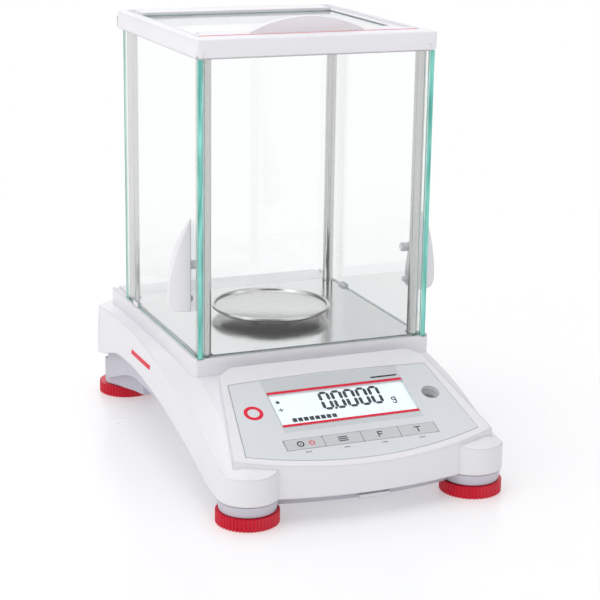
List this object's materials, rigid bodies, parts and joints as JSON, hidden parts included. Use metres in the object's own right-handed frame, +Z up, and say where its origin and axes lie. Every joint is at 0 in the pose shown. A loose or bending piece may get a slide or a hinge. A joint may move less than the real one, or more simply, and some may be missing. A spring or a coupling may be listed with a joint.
{
  "type": "analytical balance",
  "caption": "Laboratory analytical balance with a sliding-door glass draft shield, round pan, sloping keypad console and levelling feet.",
  "frame": {"origin": "middle of the footprint, on the surface that the feet stand on", "axes": "+X to the right of the person using it, -Y towards that person, where the console is, +Z up"},
  "size_m": [0.21, 0.3328, 0.3194],
  "materials": {
    "white_plastic": "satin moulded",
    "grey_plastic": "satin moulded",
    "clear_glass": "clear with green edges",
    "polished_steel": "polished",
    "brushed_steel": "brushed",
    "red_plastic": "satin moulded",
    "black_rubber": "matte",
    "black_plastic": "matte",
    "panel_film": "satin film",
    "clear_window": "clear",
    "screen": "lit display",
    "circuit_board": "solder mask",
    "cast_alloy": "machined",
    "level_fluid": "tinted clear"
  },
  "bodies": {
    "base": {"upper_housing": "white_plastic", "top_frame": "white_plastic", "front_tab": "white_plastic", "lower_housing": "grey_plastic", "hook_cover": "grey_plastic", "floor_plate": "brushed_steel", "pan_support": "polished_steel", "serial_port": "polished_steel", "usb_port": "polished_steel", "housing_screw_1": "polished_steel", "housing_screw_2": "polished_steel", "housing_screw_3": "polished_steel", "housing_screw_4": "polished_steel", "dc_inlet": "black_plastic", "level_holder": "black_plastic", "load_cell": "cast_alloy", "load_cell_base": "cast_alloy", "main_board": "circuit_board", "display_board": "circuit_board", "keypad_overlay": "panel_film", "display_window": "clear_window", "lcd_panel": "screen", "level_vial": "level_fluid", "front_glass": "clear_glass", "rear_glass": "clear_glass", "front_left_post": "polished_steel", "front_right_post": "polished_steel", "rear_left_post": "polished_steel", "rear_right_post": "polished_steel", "left_door_guide": "white_plastic", "right_door_guide": "white_plastic"},
    "left_door": {"left_door_glass": "clear_glass", "left_door_handle": "white_plastic", "left_door_knob": "white_plastic"},
    "right_door": {"right_door_glass": "clear_glass", "right_door_handle": "white_plastic", "right_door_knob": "white_plastic"},
    "top_door": {"top_door_glass": "clear_glass", "top_door_bar": "white_plastic", "top_door_trim": "red_plastic"},
    "pan": {"weighing_pan": "brushed_steel"},
    "zero_button": {"zero_key": "panel_film"},
    "print_button": {"print_key": "panel_film"},
    "function_button": {"function_key": "panel_film"},
    "tare_button": {"tare_key": "panel_film"},
    "front_left_foot_pad": {"front_left_pad": "black_rubber"},
    "front_left_foot_screw": {"front_left_wheel": "red_plastic", "front_left_stud": "polished_steel"},
    "front_right_foot_pad": {"front_right_pad": "black_rubber"},
    "front_right_foot_screw": {"front_right_wheel": "red_plastic", "front_right_stud": "polished_steel"},
    "rear_left_foot_pad": {"rear_left_pad": "black_rubber"},
    "rear_left_foot_screw": {"rear_left_wheel": "red_plastic", "rear_left_stud": "polished_steel"},
    "rear_right_foot_pad": {"rear_right_pad": "black_rubber"},
    "rear_right_foot_screw": {"rear_right_wheel": "red_plastic", "rear_right_stud": "polished_steel"}
  },
  "joints": [
    {"name": "left_door_slide", "type": "slide", "parent": "base", "child": "left_door", "axis": [0, 1, 0], "range_m": [0, 0.125]},
    {"name": "right_door_slide", "type": "slide", "parent": "base", "child": "right_door", "axis": [0, 1, 0], "range_m": [0, 0.125]},
    {"name": "top_door_slide", "type": "slide", "parent": "base", "child": "top_door", "axis": [0, 1, 0], "range_m": [0, 0.12]},
    {"name": "pan_lift", "type": "slide", "parent": "base", "child": "pan", "axis": [0, 0, 1], "range_m": [0, 0.06]},
    {"name": "zero_press", "type": "slide", "parent": "base", "child": "zero_button", "axis": [0, 0.4027, -0.9153], "range_m": [0, 0.0005], "stiffness_N_per_m": 1500},
    {"name": "print_press", "type": "slide", "parent": "base", "child": "print_button", "axis": [0, 0.4027, -0.9153], "range_m": [0, 0.0005], "stiffness_N_per_m": 1500},
    {"name": "function_press", "type": "slide", "parent": "base", "child": "function_button", "axis": [0, 0.4027, -0.9153], "range_m": [0, 0.0005], "stiffness_N_per_m": 1500},
    {"name": "tare_press", "type": "slide", "parent": "base", "child": "tare_button", "axis": [0, 0.4027, -0.9153], "range_m": [0, 0.0005], "stiffness_N_per_m": 1500},
    {"name": "front_left_foot_lift", "type": "slide", "parent": "base", "child": "front_left_foot_pad", "axis": [0, 0, -1], "range_m": [0, 0.005]},
    {"name": "front_left_foot_turn", "type": "hinge", "parent": "front_left_foot_pad", "child": "front_left_foot_screw", "pos_m": [-0.0833, -0.1447, 0.005], "axis": [0, 0, -1], "range_deg": [0, 1440]},
    {"name": "front_right_foot_lift", "type": "slide", "parent": "base", "child": "front_right_foot_pad", "axis": [0, 0, -1], "range_m": [0, 0.005]},
    {"name": "front_right_foot_turn", "type": "hinge", "parent": "front_right_foot_pad", "child": "front_right_foot_screw", "pos_m": [0.0833, -0.1447, 0.005], "axis": [0, 0, -1], "range_deg": [0, 1440]},
    {"name": "rear_left_foot_lift", "type": "slide", "parent": "base", "child": "rear_left_foot_pad", "axis": [0, 0, -1], "range_m": [0, 0.005]},
    {"name": "rear_left_foot_turn", "type": "hinge", "parent": "rear_left_foot_pad", "child": "rear_left_foot_screw", "pos_m": [-0.0793, 0.1447, 0.005], "axis": [0, 0, -1], "range_deg": [0, 1440]},
    {"name": "rear_right_foot_lift", "type": "slide", "parent": "base", "child": "rear_right_foot_pad", "axis": [0, 0, -1], "range_m": [0, 0.005]},
    {"name": "rear_right_foot_turn", "type": "hinge", "parent": "rear_right_foot_pad", "child": "rear_right_foot_screw", "pos_m": [0.0793, 0.1447, 0.005], "axis": [0, 0, -1], "range_deg": [0, 1440]}
  ],
  "couplings": [
    {"joint": "front_left_foot_lift", "follows": "front_left_foot_turn", "m_per_rad": 0.00019894},
    {"joint": "front_right_foot_lift", "follows": "front_right_foot_turn", "m_per_rad": 0.00019894},
    {"joint": "rear_left_foot_lift", "follows": "rear_left_foot_turn", "m_per_rad": 0.00019894},
    {"joint": "rear_right_foot_lift", "follows": "rear_right_foot_turn", "m_per_rad": 0.00019894}
  ]
}
